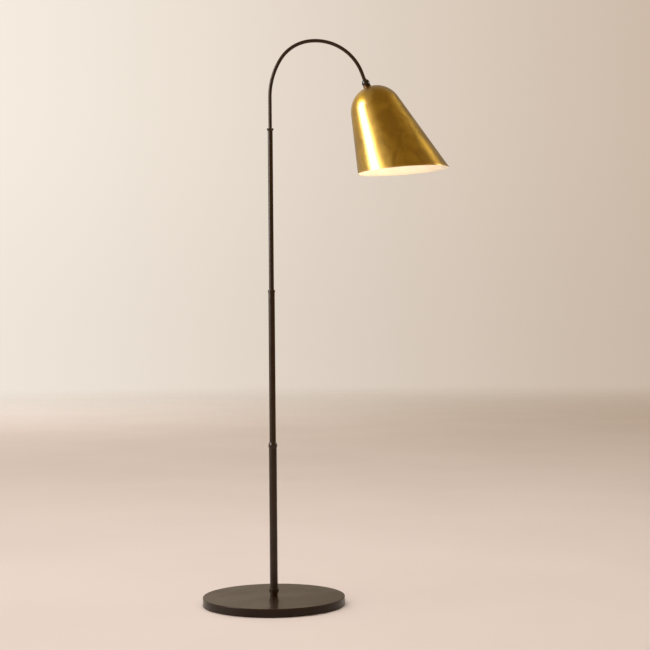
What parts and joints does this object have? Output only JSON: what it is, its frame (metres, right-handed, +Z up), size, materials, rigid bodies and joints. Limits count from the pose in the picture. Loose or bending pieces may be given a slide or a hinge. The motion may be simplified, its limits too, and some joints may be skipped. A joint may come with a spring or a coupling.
{
  "type": "bridge floor lamp",
  "caption": "Slim floor lamp with a round weighted base, a stepped pole, an arched arm and a brushed brass bell shade on a ball swivel.",
  "frame": {"origin": "on the pole's axis at the floor, the centre of the base's underside", "axes": "+Z up along the pole, +X from the pole towards the shade in the arm's plane, +Y out of the lead inlet at the back"},
  "size_m": [0.7035, 0.4015, 1.5926],
  "materials": {
    "base_paint": "satin powder coat, dark bronze",
    "pole_paint": "satin powder coat, dark bronze",
    "swivel_paint": "glossier dark bronze",
    "cast_iron": "raw casting",
    "bare_steel": "zinc plated",
    "rubber": "matt black",
    "washer_plastic": "natural nylon",
    "shade_brass": "brushed along the spinning, lacquered",
    "holder_metal": "black",
    "holder_ceramic": "unglazed white",
    "contact_brass": "plain",
    "bulb_metal": "plain",
    "bulb_plastic": "white",
    "bulb_glass": "opal, lit"
  },
  "bodies": {
    "stand": {"base_cover": "base_paint", "base_weight": "cast_iron", "inlet_grommet": "rubber", "base_plate": "bare_steel", "base_pad": "rubber", "foot_rod": "bare_steel", "foot_washer": "bare_steel", "foot_nut": "bare_steel", "foot_neck": "pole_paint", "foot_collar": "pole_paint", "lower_tube": "pole_paint", "middle_tube": "pole_paint", "upper_tube": "pole_paint", "lower_tube_insert": "bare_steel", "middle_tube_foot_insert": "bare_steel", "lower_nipple": "bare_steel", "middle_tube_insert": "bare_steel", "upper_tube_foot_insert": "bare_steel", "middle_nipple": "bare_steel", "upper_tube_insert": "bare_steel", "lower_collar": "pole_paint", "middle_collar": "pole_paint", "top_collar": "pole_paint", "arm_tube": "pole_paint", "arm_stud": "bare_steel", "arm_tip_bush": "bare_steel"},
    "swivel": {"swivel_upper": "swivel_paint", "swivel_screw": "swivel_paint", "spring_washer": "bare_steel", "friction_washer": "washer_plastic", "stem_washer": "washer_plastic", "stem_nut": "bare_steel"},
    "head": {"swivel_lower": "swivel_paint", "neck_cap": "shade_brass", "shade": "shade_brass", "shade_nipple": "bare_steel", "shade_washer": "bare_steel", "shade_nut": "bare_steel", "holder_cap": "holder_metal", "holder_shell": "holder_metal", "holder_core": "holder_ceramic", "screw_shell": "contact_brass", "centre_contact": "contact_brass", "bulb_cap": "bulb_metal", "bulb_housing": "bulb_plastic", "bulb_globe": "bulb_glass"}
  },
  "joints": [
    {"name": "shade_turn", "type": "hinge", "parent": "stand", "child": "swivel", "pos_m": [0.27062, 0, 1.46704], "axis": [0.3543, 0, -0.9351], "range_deg": [-170, 170]},
    {"name": "shade_tilt", "type": "hinge", "parent": "swivel", "child": "head", "pos_m": [0.27062, 0, 1.46704], "axis": [0, -1, 0], "range_deg": [-45, 45]}
  ]
}
